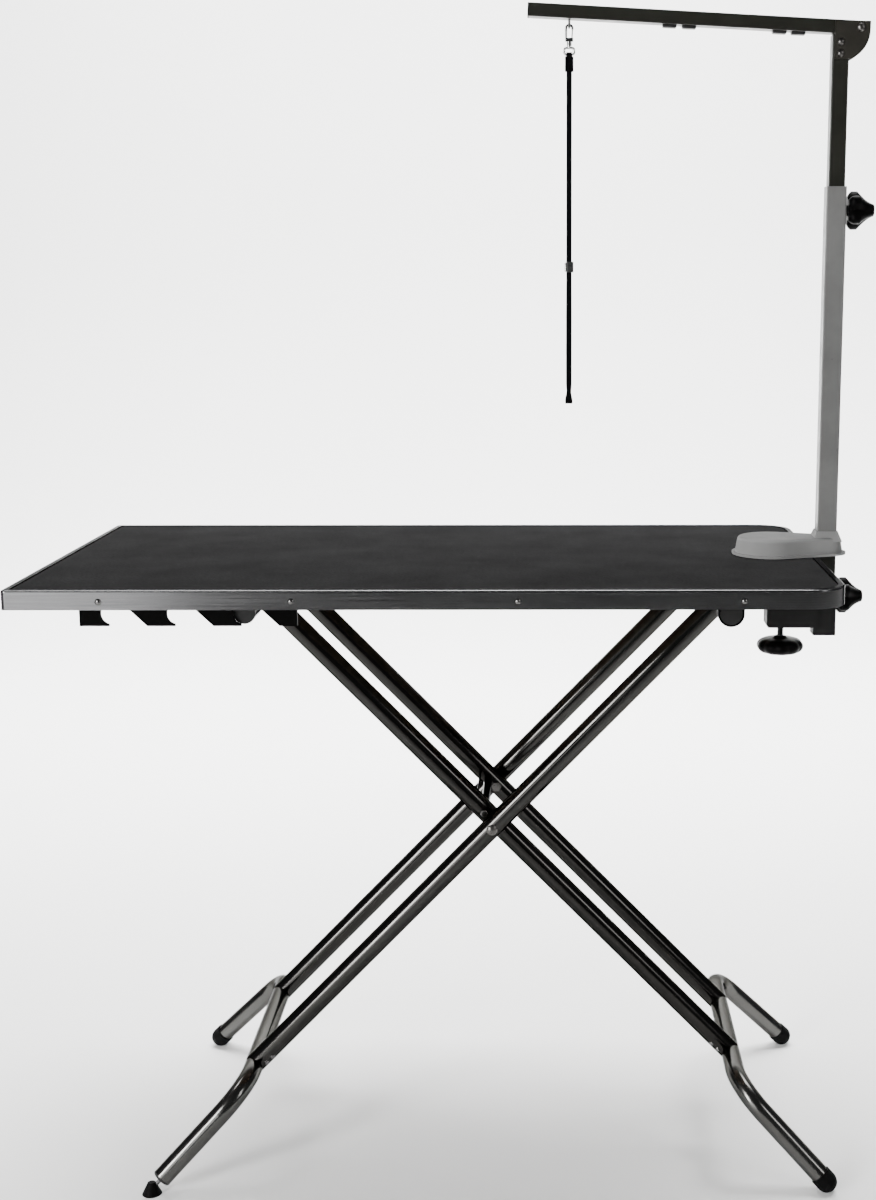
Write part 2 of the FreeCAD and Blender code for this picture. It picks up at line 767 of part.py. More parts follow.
def snap_hook():
    """A hook bent from wire above a slotted body, with a barrel for the swivel below."""
    left, right = hook_x - hook_half, hook_x + hook_half
    arc_start, arc_end = V(left, 0, hook_arc_z), V(right, 0, hook_arc_z)
    edges = [
        Part.LineSegment(V(left, 0, hook_body_top - 1.5), arc_start).toShape(),
        Part.Arc(arc_start, V(hook_x, 0, hook_arc_z + hook_half), arc_end).toShape(),
        Part.LineSegment(arc_end, arc_end - V(0, 0, 1.6)).toShape(),
    ]
    wire = swept_rod(Part.Wire(edges), hook_wire)
    body = block(left - 1.6, right + 1.2, -2.3, 2.3, hook_body_bottom, hook_body_top)
    upright = [e for e in body.Edges if e.BoundBox.ZLength > 4]
    body = body.makeFillet(1.4, upright)
    slot = block(hook_x + 1.2, right + 3, -1.25, 1.25, hook_body_bottom + 0.8, hook_body_top + 1)
    barrel = cylinder((hook_x, 0, swivel_bottom), (0, 0, 1), 3.4, hook_body_bottom - swivel_bottom)
    bore = cylinder((hook_x, 0, swivel_bottom - 1), (0, 0, 1), 1.5 + running_gap, 4)
    cavity = cylinder((hook_x, 0, swivel_bottom + 2.6), (0, 0, 1), 2.45, 2.4)
    pin = cylinder((gate_pin.x, -2.3, gate_pin.z), (0, 1, 0), 0.7, 4.6)
    return without(joined([wire, body, barrel]), [slot, bore, cavity]).fuse(pin).removeSplitter()


def snap_gate():
    """The sprung lever that closes the hook."""
    tip = V(hook_x + hook_half, 0, hook_arc_z - 1.9)
    run = tip - gate_pin
    length = run.Length
    lever = block(-0.9, 0.9, -1.0, 1.0, -0.5, length)
    lever = joined([lever, cylinder((0, -1.0, 0), (0, 1, 0), 1.5, 2.0)])
    lever = lever.cut(cylinder((0, -2, 0), (0, 1, 0), 0.7 + running_gap, 4))
    lever.rotate(V(0, 0, 0), Y, math.degrees(math.atan2(run.x, run.z)))
    lever.translate(gate_pin)
    return lever


def swivel_eye():
    """A round-cornered ring on a headed pin that turns in the hook's barrel."""
    points = [
        V(hook_x, 0, ring_high),
        V(hook_x + ring_half, 0, ring_high),
        V(hook_x + ring_half, 0, ring_low),
        V(hook_x - ring_half, 0, ring_low),
        V(hook_x - ring_half, 0, ring_high),
        V(hook_x, 0, ring_high),
    ]
    ring = swept_rod(rounded_path(points, 3.2), hook_wire)
    pin = cylinder((hook_x, 0, ring_high), (0, 0, 1), 1.5, swivel_bottom + 4.2 - ring_high)
    head = cylinder((hook_x, 0, swivel_bottom + 3.0), (0, 0, 1), 2.2, 1.2)
    collar = cylinder((hook_x, 0, ring_high), (0, 0, 1), 2.6, swivel_bottom - 0.3 - ring_high)
    return joined([ring, pin, head, collar])


def strap_eye(ring):
    """The strap's sewn end, folded round the ring."""
    low = strap_top
    roll = cylinder((hook_x - strap_width / 2, 0, ring_low), (1, 0, 0), 3.4, strap_width)
    sewn = block(hook_x - 6.0, hook_x + 6.0, -3.6, 3.6, low, strap_eye_top)
    sewn = sewn.makeFillet(1.2, sewn.Edges)
    return joined([roll, sewn]).cut(ring)


def noose_strap():
    """The strap: down, round its end and back up, in one flat length."""
    points = [V(hook_x, y, z) for y, z in noose_route]
    path = rounded_path(points, report="noose strap")
    start = points[0]
    half = strap_width / 2
    thick = strap_thickness / 2
    corners = [
        start + V(-half, -thick, 0),
        start + V(half, -thick, 0),
        start + V(half, thick, 0),
        start + V(-half, thick, 0),
    ]
    profile = Part.makePolygon(corners + corners[:1])
    strap = path.makePipeShell([profile], True, False)
    share = strap.Volume / (path.Length * strap_width * strap_thickness)
    print(f"noose strap: {path.Length:.0f} mm long, volume over section times length {share:.4f}")
    return strap


def noose_slide():
    """A block that both strands run through, and the sprung clip on its side."""
    x0, x1 = hook_x - 6.4, hook_x + 6.4
    body = block(x0 + 3.4, x1, -6.4, 6.4, slide_low, slide_high)
    body = body.makeFillet(1.6, [e for e in body.Edges if e.BoundBox.ZLength > 10])
    clip = block(x0, x0 + 3.4, -6.0, 6.0, slide_low + 0.6, slide_high - 0.6)
    clip = clip.makeFillet(1.4, [e for e in clip.Edges if e.BoundBox.XMin < x0 + 0.1])
    slot = block(hook_x - strap_width / 2 - 0.4, hook_x + strap_width / 2 + 0.4, -4.1, 4.1, 1200, 1400)
    return body.cut(slot), clip.cut(slot)


# ---- clamp --------------------------------------------------------------------------------------


def clamp_jaw():
    """A sleeve on the clamp tube with an arm under the table that holds the clamp screw."""
    x0, x1 = table_x + jaw_sleeve_left, table_x + jaw_sleeve_right
    sleeve = block(x0, x1, -sleeve_half_width, sleeve_half_width, sleeve_bottom, sleeve_top)
    sleeve = sleeve.makeFillet(3.0, [e for e in sleeve.Edges if e.BoundBox.ZLength > 50])
    arm = block(table_x + jaw_left, x0 + 6, -jaw_half_width, jaw_half_width, jaw_bottom, jaw_top)
    arm = arm.makeFillet(4.0, [e for e in arm.Edges if e.BoundBox.XMax < table_x + jaw_left + 1])
    bore = square_bar(table_x + post_x, clamp_tube_width + 0.5, sleeve_bottom - 1, sleeve_top + 1, 1.0)
    screw_hole = cylinder((table_x + screw_x, 0, 700), (0, 0, 1), screw_radius + screw_gap, 200)
    hole_radius = knob_stem_radius + running_gap
    knob_hole = cylinder((table_x + post_x, 0, jaw_knob_z), (1, 0, 0), hole_radius, 60)
    boss_length = washer_seat(right_edge + jaw_knob_reach) - x1 + 1
    boss = cylinder((x1 - 1, 0, jaw_knob_z), (1, 0, 0), 9.0, boss_length)
    return without(joined([sleeve, arm, boss]), [bore, screw_hole, knob_hole])


def hand_wheel():
    """A domed hand wheel with shallow finger scallops under the clamp screw."""
    x = table_x + screw_x
    height = wheel_top - wheel_bottom
    wheel = cylinder((x, 0, wheel_bottom), (0, 0, 1), wheel_radius, height)
    wheel = wheel.makeFillet(8.0, level_edges(wheel, wheel_bottom) + level_edges(wheel, wheel_top))
    for i in range(10):
        angle = math.radians(36 * i)
        reach = wheel_radius + 7.6
        place = (x + reach * math.cos(angle), reach * math.sin(angle), wheel_bottom - 1)
        wheel = wheel.cut(cylinder(place, (0, 0, 1), 9.5, height + 2))
    return wheel


def screw_rod():
    x = table_x + screw_x
    length = board_bottom - pad_gap - pad_thickness - wheel_top
    return cylinder((x, 0, wheel_top), (0, 0, 1), screw_radius, length)


def pressure_pad():
    x = table_x + screw_x
    pad = cylinder((x, 0, board_bottom - pad_gap - pad_thickness), (0, 0, 1), pad_radius, pad_thickness)
    return pad.makeFillet(1.0, level_edges(pad, board_bottom - pad_gap))


# ---- nodes --------------------------------------------------------------------------------------

nodes = {}


def add(name, *shapes):
    nodes[name] = shapes[0] if len(shapes) == 1 else Part.makeCompound(list(shapes))


screws = edge_screws()
rack_screws = underside_screws(rack_screw_places(-1) + rack_screw_places(1))
saddle_screws = underside_screws(saddle_screw_places(-1) + saddle_screw_places(1))
fixings = rack_screws + saddle_screws

add("table_board", without(rounded_plate(band_wall, board_bottom, board_top), screws + fixings))
mat = rounded_plate(lip_width + mat_gap, board_top, board_top + mat_thickness)
add("rubber_mat", mat.makeFillet(0.8, level_edges(mat, board_top + mat_thickness)))
add("edge_band", edge_band(screws))
add("edge_screws", *screws)
for name, hand in (("front", -1), ("back", 1)):
    add(f"rack_{name}", without(rack(hand), rack_screws))
    add(f"hinge_saddle_{name}", without(hinge_saddle(hand), saddle_screws))
add("underside_screws", *fixings)

for name, hand in (("front", -1), ("back", 1)):
    add(f"inner_leg_{name}", leg(INNER, hand * inner_leg_y, inner_fittings))
    add(f"outer_leg_{name}", leg(OUTER, hand * outer_leg_y, outer_fittings))
add("inner_top_tube", top_tube(INNER, inner_top_half))
add("outer_top_tube", top_tube(OUTER, outer_top_half))
add("inner_top_caps", *top_caps(INNER, inner_top_half))
add("outer_top_caps", *top_caps(OUTER, outer_top_half))
add("inner_foot_tube", foot_solid[INNER].cut(foot_bore[INNER]))
add("outer_foot_tube", foot_solid[OUTER].cut(foot_bore[OUTER]))
add("inner_foot_caps", rubber_foot(INNER, -1), rubber_foot(INNER, 1))
add("outer_foot_cap", rubber_foot(OUTER, 1))
add("outer_foot_plug", tube_plug)
add("levelling_stud", levelling_stud)
add("levelling_pad", levelling_pad)
add("inner_leg_rivets", *inner_rivets)
add("outer_leg_rivets", *outer_rivets)
add("pivot_bolts", *pivot_bolts, *pivot_nuts)
add("pivot_spacers", *pivot_spacers)
add("cross_brace", cross_brace)
add("brace_nuts", *brace_nuts)
add("tie_rod", tie_rod)

add("arm_shoe", arm_shoe())
hole_radius = knob_stem_radius + running_gap
stem_hole = cylinder((table_x + post_x, 0, post_knob_z), (1, 0, 0), hole_radius, 40)
post_face = table_x + post_x + lower_post_width / 2
boss_length = washer_seat(table_x + post_knob_reach) - post_face
boss = cylinder((post_face, 0, post_knob_z), (1, 0, 0), 9.0, boss_length)
add("lower_post", joined([lower_post(), boss]).cut(stem_hole))
clamp_bar = square_bar(table_x + post_x, clamp_tube_width, sleeve_bottom, table_height + 2)
clamp_bore = square_bar(table_x + post_x, clamp_tube_bore, sleeve_bottom, table_height + 2, 1.0)
add("clamp_tube", clamp_bar.cut(clamp_bore))

bolt_half = bracket_gap + bracket_thickness
post_bolts = [through_bolt(table_x + x, z, bolt_half, 5.0) for x, z in post_bolt_places]
pivot_bolt = through_bolt(arm_pivot.x, arm_pivot.z, bolt_half)
add("upper_post", without(upper_post(), post_bolts))
for name, hand in (("front", -1), ("back", 1)):
    add(f"bracket_plate_{name}", without(bracket_plate(hand), post_bolts + [pivot_bolt]))
add("bracket_bolts", *post_bolts)
add("arm_pivot_bolt", pivot_bolt)

eyelet = arm_eyelet()
add("arm_tube", arm_tube().cut(eyelet))
add("arm_end_caps", *arm_caps())
add("arm_lugs", *arm_lugs())
add("arm_eyelet", eyelet)

ring = swivel_eye()
slide_body, slide_clip = noose_slide()
add("snap_hook", snap_hook())
add("snap_gate", snap_gate())
add("swivel_eye", ring)
add("strap_eye", strap_eye(ring))
add("noose_strap", noose_strap())
add("noose_slide", slide_body)
add("noose_slide_clip", slide_clip)

add("clamp_jaw", clamp_jaw())
add("clamp_screw", screw_rod())
add("hand_wheel", hand_wheel())
add("pressure_pad", pressure_pad())

knobs = (
    ("post", post_knob_z, table_x + post_knob_reach, upper_post_width),
    ("jaw", jaw_knob_z, right_edge + jaw_knob_reach, clamp_tube_width),
)
for name, z, outer_x, held_width in knobs:
    start = table_x + post_x + held_width / 2 + 0.1
    end = outer_x - knob_depth
    washer = cylinder((end - washer_thickness, 0, z), (1, 0, 0), 8.0, washer_thickness)
    washer_hole = cylinder((start, 0, z), (1, 0, 0), hole_radius, 60)
    stem = cylinder((start, 0, z), (1, 0, 0), knob_stem_radius, end + 6 - start)
    add(f"{name}_knob", star_knob(z, outer_x).cut(stem))
    add(f"{name}_knob_stem", stem)
    add(f"{name}_knob_washer", washer.cut(washer_hole))

os.makedirs("parts", exist_ok=True)
for name, shape in nodes.items():
    if not shape.isValid():
        print("not valid:", name)
    shape.exportStep(f"parts/{name}.step")
print(len(nodes), "nodes")
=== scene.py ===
import math

import bmesh
import bpy
from mathutils import Matrix, Vector


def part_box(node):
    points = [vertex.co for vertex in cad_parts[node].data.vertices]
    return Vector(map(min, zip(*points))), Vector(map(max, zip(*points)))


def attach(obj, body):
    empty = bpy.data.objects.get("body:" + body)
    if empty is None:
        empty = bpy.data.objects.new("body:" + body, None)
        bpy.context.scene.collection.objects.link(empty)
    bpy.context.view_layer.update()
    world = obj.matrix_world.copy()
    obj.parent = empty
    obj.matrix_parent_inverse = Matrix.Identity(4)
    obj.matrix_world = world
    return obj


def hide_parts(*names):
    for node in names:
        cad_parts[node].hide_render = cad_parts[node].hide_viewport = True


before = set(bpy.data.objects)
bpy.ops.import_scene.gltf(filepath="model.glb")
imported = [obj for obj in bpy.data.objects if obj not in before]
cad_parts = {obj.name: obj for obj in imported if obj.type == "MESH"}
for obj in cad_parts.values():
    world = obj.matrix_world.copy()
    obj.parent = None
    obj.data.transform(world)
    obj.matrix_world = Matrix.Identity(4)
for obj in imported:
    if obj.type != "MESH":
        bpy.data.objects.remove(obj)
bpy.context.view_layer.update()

MM = 0.001
TAU = 2 * math.pi


# ---- places, from the frame ---------------------------------------------------------------------


def middle(node):
    low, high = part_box(node)
    return (Vector(low) + Vector(high)) / 2


def corner(node, which):
    return Vector(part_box(node)[which])


LOW, HIGH = 0, 1
noose_x = middle("noose_strap").x
slide_bottom = corner("noose_slide", LOW).z


# ---- node tools ---------------------------------------------------------------------------------

# a mix node repeats its sockets for numbers, vectors and colours: these are the factor and colours
MIX_COLOUR_INPUTS = (0, 6, 7)
MIX_COLOUR_OUTPUT = 2


class Shader:
    """A material with a principled shader, and short ways to add the nodes that feed it."""

    def __init__(self, name, colour, roughness, metallic=0.0, **sockets):
        self.material = bpy.data.materials.new(name)
        self.material.use_nodes = True
        self.tree = self.material.node_tree
        self.surface = self.tree.nodes["Principled BSDF"]
        self.surface.inputs["Base Color"].default_value = (*colour, 1)
        self.surface.inputs["Roughness"].default_value = roughness
        self.surface.inputs["Metallic"].default_value = metallic
        for key, value in sockets.items():
            self.surface.inputs[key.replace("_", " ")].default_value = value
        self.normal = None

    def node(self, kind, **settings):
        node = self.tree.nodes.new(kind)
        for key, value in settings.items():
            setattr(node, key, value)
        return node

    def link(self, output, target):
        self.tree.links.new(output, target)

    def place(self, scale=(1, 1, 1)):
        """The point on the surface, in metres, scaled."""
        coordinates = self.node("ShaderNodeTexCoord")
        mapping = self.node("ShaderNodeMapping")
        mapping.inputs["Scale"].default_value = scale
        self.link(coordinates.outputs["Object"], mapping.inputs["Vector"])
        return mapping.outputs["Vector"]

    def noise(self, scale, detail=3.0, stretch=(1, 1, 1), roughness=0.55):
        noise = self.node("ShaderNodeTexNoise")
        noise.inputs["Scale"].default_value = scale
        noise.inputs["Detail"].default_value = detail
        noise.inputs["Roughness"].default_value = roughness
        self.link(self.place(stretch), noise.inputs["Vector"])
        return noise.outputs["Fac"]

    def cells(self, scale):
        cells = self.node("ShaderNodeTexVoronoi")
        cells.inputs["Scale"].default_value = scale
        self.link(self.place(), cells.inputs["Vector"])
        return cells.outputs["Distance"]

    def waves(self, scale, direction):
        waves = self.node("ShaderNodeTexWave", bands_direction=direction)
        waves.inputs["Scale"].default_value = scale
        self.link(self.place(), waves.inputs["Vector"])
        return waves.outputs["Fac"]

    def spread(self, value, low, high, from_low=0.3, from_high=0.7):
        """A value's middle range, mapped to low..high."""
        remap = self.node("ShaderNodeMapRange")
        remap.inputs["From Min"].default_value = from_low
        remap.inputs["From Max"].default_value = from_high
        remap.inputs["To Min"].default_value = low
        remap.inputs["To Max"].default_value = high
        self.link(value, remap.inputs["Value"])
        return remap.outputs["Result"]

    def colours(self, value, stops):
        ramp = self.node("ShaderNodeValToRGB")
        elements = ramp.color_ramp.elements
        while len(elements) < len(stops):
            elements.new(0.5)
        for element, (position, colour) in zip(elements, stops):
            element.position = position
            element.color = (*colour, 1)
        self.link(value, ramp.inputs["Fac"])
        return ramp.outputs["Color"]

    def facing_up(self):
        """1 where the surface faces straight up, 0 on upright faces."""
        geometry = self.node("ShaderNodeNewGeometry")
        parts = self.node("ShaderNodeSeparateXYZ")
        self.link(geometry.outputs["Normal"], parts.inputs["Vector"])
        return self.spread(parts.outputs["Z"], 0, 1, 0.25, 0.95)

    def mixed(self, factor, first, second):
        mix = self.node("ShaderNodeMix", data_type="RGBA")
        factor_in, first_in, second_in = (mix.inputs[i] for i in MIX_COLOUR_INPUTS)
        self.link(factor, factor_in)
        self.link(first, first_in)
        self.link(second, second_in)
        return mix.outputs[MIX_COLOUR_OUTPUT]

    def base(self, colour_output):
        self.link(colour_output, self.surface.inputs["Base Color"])

    def rough(self, value_output):
        self.link(value_output, self.surface.inputs["Roughness"])

    def bump(self, height, depth_mm, strength=1.0):
        """Adds height, in units of depth_mm, to the bump already there."""
        bump = self.node("ShaderNodeBump")
        bump.inputs["Strength"].default_value = strength
        bump.inputs["Distance"].default_value = depth_mm * MM
        self.link(height, bump.inputs["Height"])
        if self.normal:
            self.link(self.normal, bump.inputs["Normal"])
        self.normal = bump.outputs["Normal"]
        self.link(self.normal, self.surface.inputs["Normal"])


def shade(colour, factor):
    return tuple(min(1.0, c * factor) for c in colour)


# ---- materials ----------------------------------------------------------------------------------

# the shoe's top colour is painted shade: a darker copy of its side colour for the faces that point
# up
SHOE_SIDE = (0.235, 0.235, 0.232)
SHOE_TOP_PAINTED_SHADE = (0.13, 0.13, 0.129)


def painted(name, colour, roughness, texture_mm=0.12, gloss=0.3):
    """Powder coat: a fine orange-peel surface, slightly uneven in tone and gloss."""
    s = Shader(name, colour, roughness, Specular_IOR_Level=gloss)
    s.base(s.colours(s.noise(9, 4), [(0.3, shade(colour, 0.86)), (0.7, shade(colour, 1.25))]))
    s.rough(s.spread(s.noise(40, 3), roughness - 0.06, roughness + 0.08))
    s.bump(s.noise(900, 2), texture_mm, 0.35)
    return s.material


def cast_shoe():
    """Painted casting: an orange-peel coat, pale on its sides, with painted shade on top: a darker
    copy of the colour where the surface faces up.
    """
    s = Shader("shoe_coat", SHOE_SIDE, 0.36, Specular_IOR_Level=0.0)
    side = s.colours(s.noise(9, 4), [(0.3, shade(SHOE_SIDE, 0.9)), (0.7, shade(SHOE_SIDE, 1.15))])
    top = s.colours(s.noise(14, 5), [(0.3, shade(SHOE_TOP_PAINTED_SHADE, 0.88)), (0.7, shade(SHOE_TOP_PAINTED_SHADE, 1.18))])
    # painted shade: faces that point up take the darker top colour
    s.base(s.mixed(s.facing_up(), side, top))
    s.rough(s.spread(s.noise(40, 3), 0.3, 0.44))
    s.bump(s.noise(900, 2), 0.25, 0.35)
    return s.material


def polished_tube(name, colour, roughness):
    """Drawn and polished tube: fine lengthwise lines and faint smears in the gloss."""
    s = Shader(name, colour, roughness, metallic=1.0, Specular_Tint=(0.3, 0.3, 0.3, 1))
    s.base(s.colours(s.noise(5, 3), [(0.25, shade(colour, 0.88)), (0.75, shade(colour, 1.12))]))
    s.rough(s.spread(s.noise(18, 5), roughness - 0.035, roughness + 0.06))
    s.bump(s.noise(260, 2, stretch=(1, 0.06, 1)), 0.03, 0.12)
    return s.material


def bright_metal(name, colour, roughness):
    """Plated steel, faintly pitted and uneven in gloss."""
    s = Shader(name, colour, roughness, metallic=1.0)
    s.rough(s.spread(s.noise(220, 3), roughness - 0.05, roughness + 0.1))
    s.base(s.colours(s.noise(90, 3), [(0.3, shade(colour, 0.85)), (0.7, shade(colour, 1.1))]))
    s.bump(s.noise(700, 2), 0.03, 0.2)
    return s.material


def extruded_band():
    """Extruded aluminium edging: fine lines along the extrusion, dulled by handling."""
    colour = (0.15, 0.15, 0.152)
    s = Shader("edge_aluminium", colour, 0.2, metallic=1.0, Specular_Tint=(0.15, 0.15, 0.15, 1))
    s.base(s.colours(s.noise(4, 4), [(0.3, shade(colour, 0.88)), (0.7, shade(colour, 1.08))]))
    s.rough(s.spread(s.noise(60, 4, stretch=(0.1, 0.1, 8)), 0.15, 0.27))
    s.bump(s.noise(500, 2, stretch=(0.02, 0.02, 1)), 0.05, 0.25)
    return s.material


def brushed_rod():
    """Bright steel bar, brushed along its length."""
    s = Shader("rod_steel", (0.09, 0.09, 0.09), 0.34, metallic=1.0)
    s.rough(s.spread(s.noise(300, 3, stretch=(1, 1, 0.05)), 0.26, 0.44))
    s.bump(s.noise(900, 2, stretch=(1, 1, 0.05)), 0.05, 0.3)
    return s.material


def rubber_sheet():
    """The mat: close rows of small pebbles, with faint dusty patches."""
    colour = (0.018, 0.018, 0.0182)
    s = Shader("mat_rubber", colour, 0.7, Specular_IOR_Level=0.0)
    s.base(s.colours(s.noise(11, 5), [(0.3, shade(colour, 0.88)), (0.7, shade(colour, 1.16))]))
    s.rough(s.spread(s.noise(30, 4), 0.62, 0.8))
    s.bump(s.cells(190), 0.8, 1.0)
    s.bump(s.noise(1500, 2), 0.1, 0.4)
    return s.material


def moulded_rubber():
    """Dull black rubber with a fine grain, greyed in patches."""
    colour = (0.002, 0.002, 0.002)
    s = Shader("foot_rubber", colour, 0.6, Specular_IOR_Level=0.05)
    s.base(s.colours(s.noise(60, 4), [(0.3, shade(colour, 0.7)), (0.75, shade(colour, 1.9))]))
    s.rough(s.spread(s.noise(120, 3), 0.5, 0.75))
    s.bump(s.noise(1100, 3), 0.12, 0.5)
    return s.material


def moulded_plastic(name, colour, roughness, gloss=0.16):
    """Black plastic with a fine spark-eroded texture."""
    s = Shader(name, colour, roughness, Specular_IOR_Level=gloss)
    s.base(s.colours(s.noise(30, 3), [(0.3, shade(colour, 0.85)), (0.7, shade(colour, 1.25))]))
    s.rough(s.spread(s.noise(90, 3), roughness - 0.05, roughness + 0.08))
    s.bump(s.cells(1400), 0.05, 0.35)
    return s.material


def plywood():
    """The board's underside: dark film-faced plywood with long faint grain."""
    dark, middling, pale = (0.05, 0.032, 0.02), (0.1, 0.066, 0.042), (0.14, 0.095, 0.062)
    s = Shader("board_ply", (0.09, 0.06, 0.04), 0.5)
    grain = s.noise(26, 6, stretch=(0.08, 1, 1), roughness=0.7)
    s.base(s.colours(grain, [(0.3, dark), (0.6, middling), (0.8, pale)]))
    s.rough(s.spread(grain, 0.42, 0.62))
    s.bump(s.noise(160, 4, stretch=(0.05, 1, 1)), 0.15, 0.35)
    return s.material


def webbing():
    """Woven strap: ribs across it, and warp threads along it."""
    dark, pale = (0.0015, 0.0015, 0.0017), (0.0055, 0.0055, 0.006)
    s = Shader("strap_webbing", (0.003, 0.003, 0.0032), 0.8, Specular_IOR_Level=0.02,
               Sheen_Weight=0.02, Sheen_Roughness=0.4)
    ribs = s.waves(520, "Z")
    s.base(s.colours(s.noise(300, 3), [(0.3, dark), (0.75, pale)]))
    s.bump(ribs, 0.35, 0.8)
    s.bump(s.waves(700, "X"), 0.2, 0.6)
    return s.material


black_paint = painted("black_coat", (0.0135, 0.0135, 0.0105), 0.34)
rack_paint = painted("rack_coat", (0.0015, 0.0015, 0.0015), 0.5, gloss=0.03)
grey_paint = painted("grey_coat", (0.135, 0.135, 0.132), 0.33)
shoe_paint = cast_shoe()
taupe_paint = painted("taupe_coat", (0.02, 0.0185, 0.015), 0.42, gloss=0.2)
jaw_paint = painted("jaw_coat", (0.0145, 0.0145, 0.0145), 0.5, 0.3, gloss=0.06)
# one polished steel in three tones: the inner frame, brace and tie rod get a darker copy as
# painted shade, the foot tubes a lighter copy as painted reflection
leg_metal = polished_tube("leg_steel", (0.042, 0.041, 0.039), 0.14)
shaded_inner_leg_metal = polished_tube("shaded_inner_leg_steel", (0.032, 0.031, 0.0295), 0.15)
reflection_lit_foot_metal = polished_tube("reflection_lit_foot_steel", (0.095, 0.094, 0.09), 0.19)
screw_metal = bright_metal("screw_steel", (0.16, 0.157, 0.154), 0.2)
dull_screw = bright_metal("dull_screw_steel", (0.12, 0.115, 0.11), 0.3)
hook_metal = bright_metal("hook_nickel", (0.24, 0.24, 0.238), 0.18)
ring_metal = bright_metal("ring_nickel", (0.5, 0.5, 0.495), 0.18)
rod_metal = brushed_rod()
eyelet_metal = bright_metal("eyelet_steel", (0.1, 0.1, 0.098), 0.25)
band_metal = extruded_band()
mat_rubber = rubber_sheet()
foot_rubber = moulded_rubber()
knob_plastic = moulded_plastic("knob_plastic", (0.0012, 0.0012, 0.0012), 0.4, 0.05)
cap_plastic = moulded_plastic("cap_plastic", (0.018, 0.018, 0.018), 0.45)
slide_plastic = moulded_plastic("slide_plastic", (0.025, 0.025, 0.025), 0.28)
board_wood = plywood()
strap_cloth = webbing()

node_materials = {
    "table_board": board_wood,
    "rubber_mat": mat_rubber,
    "edge_band": band_metal,
    "edge_screws": screw_metal,
    "underside_screws": dull_screw,
    "rack_front": rack_paint,
    "rack_back": rack_paint,
    "hinge_saddle_front": rack_paint,
    "hinge_saddle_back": rack_paint,
    "arm_shoe": shoe_paint,
    "lower_post": grey_paint,
    "clamp_tube": black_paint,
    "upper_post": black_paint,
    "bracket_plate_front": taupe_paint,
    "bracket_plate_back": taupe_paint,
    "bracket_bolts": dull_screw,
    "arm_pivot_bolt": dull_screw,
    "arm_tube": black_paint,
    "arm_end_caps": cap_plastic,
    "arm_lugs": cap_plastic,
    "arm_eyelet": eyelet_metal,
    "outer_leg_front": leg_metal,
    "outer_leg_back": leg_metal,
    "outer_top_tube": leg_metal,
    "outer_top_caps": cap_plastic,
    "outer_foot_tube": reflection_lit_foot_metal,
    "outer_foot_cap": foot_rubber,
    "outer_foot_plug": cap_plastic,
    "outer_leg_rivets": screw_metal,
    "inner_leg_front": shaded_inner_leg_metal,
    "inner_leg_back": shaded_inner_leg_metal,
    "inner_top_tube": shaded_inner_leg_metal,
    "inner_top_caps": cap_plastic,
    "inner_foot_tube": reflection_lit_foot_metal,
    "inner_foot_caps": foot_rubber,
    "inner_leg_rivets": screw_metal,
    "pivot_bolts": dull_screw,
    "pivot_spacers": cap_plastic,
    "cross_brace": shaded_inner_leg_metal,
    "brace_nuts": screw_metal,
    "tie_rod": shaded_inner_leg_metal,
    "levelling_pad": foot_rubber,
    "levelling_stud": rod_metal,
    "snap_hook": hook_metal,
    "snap_gate": hook_metal,
    "swivel_eye": ring_metal,
    "strap_eye": strap_cloth,
    "noose_strap": strap_cloth,
    "noose_slide": slide_plastic,
    "noose_slide_clip": ring_metal,
    "post_knob": knob_plastic,
    "post_knob_stem": rod_metal,
    "post_knob_washer": screw_metal,
    "jaw_knob": knob_plastic,
    "jaw_knob_stem": rod_metal,
    "jaw_knob_washer": screw_metal,
    "clamp_jaw": jaw_paint,
    "clamp_screw": rod_metal,
    "hand_wheel": knob_plastic,
    "pressure_pad": rod_metal,
}


def paint_nodes():
    for name, material in node_materials.items():
        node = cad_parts[name]
        if not node.material_slots:
            node.data.materials.append(material)
        for place in node.material_slots:
            place.material = material


# ---- mesh tools ---------------------------------------------------------------------------------


def mesh_piece(name, points, faces, material, smooth_angle=35.0):
    """A piece from points in metres; faces meeting at less than smooth_angle look smooth."""
    mesh = bpy.data.meshes.new(name)
    mesh.from_pydata([tuple(p) for p in points], [], faces)
    mesh.validate()
    shape = bmesh.new()
    shape.from_mesh(mesh)
    bmesh.ops.recalc_face_normals(shape, faces=shape.faces)
    for face in shape.faces:
        face.smooth = True
    limit = math.radians(smooth_angle)
    for edge in shape.edges:
        edge.smooth = len(edge.link_faces) == 2 and edge.calc_face_angle(math.pi) < limit
    shape.to_mesh(mesh)
    shape.free()
    piece = bpy.data.objects.new(name, mesh)
    bpy.context.scene.collection.objects.link(piece)
    mesh.materials.append(material)
    return piece


def rings_to_mesh(rings):
    """Points and faces that join a list of equal rings, with a cap at each end."""
    count = len(rings[0])
    points = [p for ring in rings for p in ring]
    faces = []
    for i in range(len(rings) - 1):
        a, b = i * count, (i + 1) * count
        for j in range(count):
            k = (j + 1) % count
            faces.append((a + j, a + k, b + k, b + j))
    faces.append(tuple(reversed(range(count))))
    faces.append(tuple(range(len(points) - count, len(points))))
    return points, faces


def finished(piece, body, node):
    """Makes a piece ride on its body and stand for its CAD node, which it hides."""
    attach(piece, body)
    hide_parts(node)


def turned(axis, origin):
    """The matrix that takes +Z to axis and moves to origin."""
    turn = Vector((0, 0, 1)).rotation_difference(Vector(axis).normalized())
    return Matrix.Translation(origin) @ turn.to_matrix().to_4x4()


